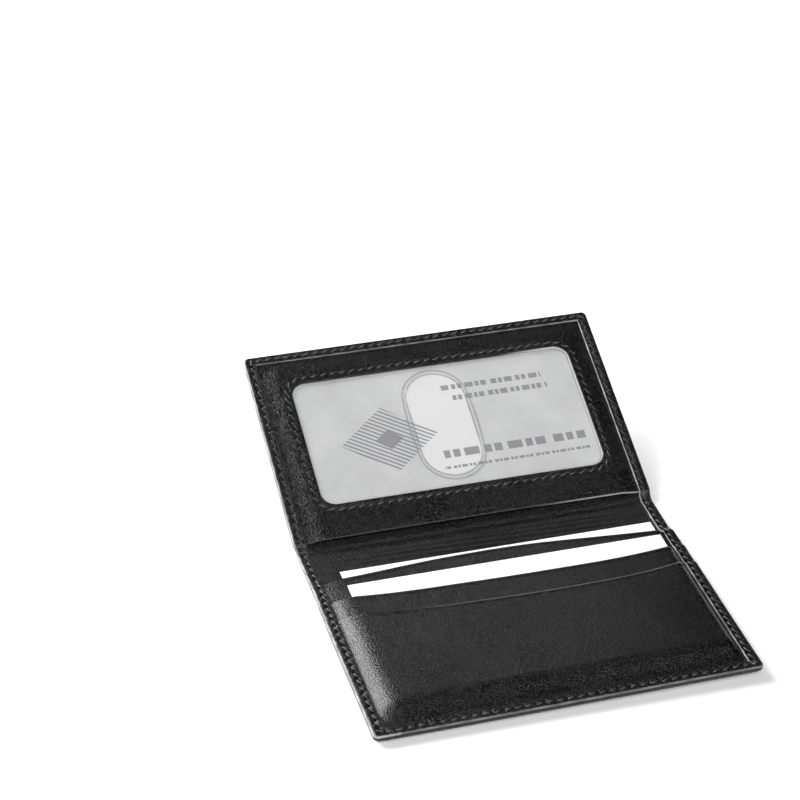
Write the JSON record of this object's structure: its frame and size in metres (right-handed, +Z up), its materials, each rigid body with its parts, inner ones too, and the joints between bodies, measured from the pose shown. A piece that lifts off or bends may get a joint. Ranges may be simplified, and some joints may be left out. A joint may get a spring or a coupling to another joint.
{
  "type": "business card case",
  "caption": "Bifold leather card case with stepped card slots, a clear window pocket, an outside pocket and loose cards, shown half open.",
  "frame": {"origin": "middle of the slot half's flat underside, 36 mm from its front edge", "axes": "+X to the right across the case, +Y from the front edge towards the spine and window half, +Z up"},
  "size_m": [0.104, 0.1413, 0.0272],
  "materials": {
    "leather": "fine pebbled grain, semi-gloss",
    "lining_leather": "smooth, satin",
    "cloth": "fine plain weave, matte",
    "board": "matte",
    "thread": "waxed thread, satin",
    "film": "clear, glossy",
    "card": "smooth, matte"
  },
  "bodies": {
    "slot_half": {"lower_cover": "leather", "outer_pocket": "leather", "lower_board": "board", "lower_lining": "cloth", "fold_lining_low": "lining_leather", "slot_a": "leather", "slot_b": "leather", "slot_c": "leather", "slot_a_apron": "cloth", "slot_b_apron": "cloth", "lower_seam": "thread", "pocket_seam": "thread"},
    "spine_one": {"spine_cover_one": "leather", "spine_lining_one": "lining_leather", "spine_seam_one": "thread"},
    "spine_two": {"spine_cover_two": "leather", "spine_lining_two": "lining_leather", "spine_seam_two": "thread"},
    "window_half": {"upper_cover": "leather", "upper_board": "board", "upper_lining": "cloth", "fold_lining_high": "lining_leather", "window_panel": "leather", "window_film": "film", "upper_seam": "thread", "window_seam": "thread"},
    "rear_card": {"card_a": "card"},
    "middle_card": {"card_b": "card"},
    "outside_card": {"outer_card": "card"},
    "window_card": {"id_card": "card"}
  },
  "joints": [
    {"name": "spine_fold_low", "type": "hinge", "parent": "slot_half", "child": "spine_one", "pos_m": [0, 0.0314, 0.0006], "axis": [1, 0, 0], "range_deg": [0, 60]},
    {"name": "spine_fold_middle", "type": "hinge", "parent": "spine_one", "child": "spine_two", "pos_m": [0, 0.037, 0.0006], "axis": [1, 0, 0], "range_deg": [0, 60]},
    {"name": "spine_fold_high", "type": "hinge", "parent": "spine_two", "child": "window_half", "pos_m": [0, 0.0426, 0.0006], "axis": [1, 0, 0], "range_deg": [-22.1, 37.9]},
    {"name": "rear_card_slide", "type": "slide", "parent": "slot_half", "child": "rear_card", "axis": [0, -1, 0], "range_m": [-0.013, 0]},
    {"name": "middle_card_slide", "type": "slide", "parent": "slot_half", "child": "middle_card", "axis": [0, -1, 0], "range_m": [-0.018, 0]},
    {"name": "outside_card_slide", "type": "slide", "parent": "slot_half", "child": "outside_card", "axis": [0, -1, 0], "range_m": [-0.002, 0]},
    {"name": "window_card_slide", "type": "slide", "parent": "window_half", "child": "window_card", "axis": [0, 0.9265, 0.3762], "range_m": [-0.009, 0]}
  ]
}
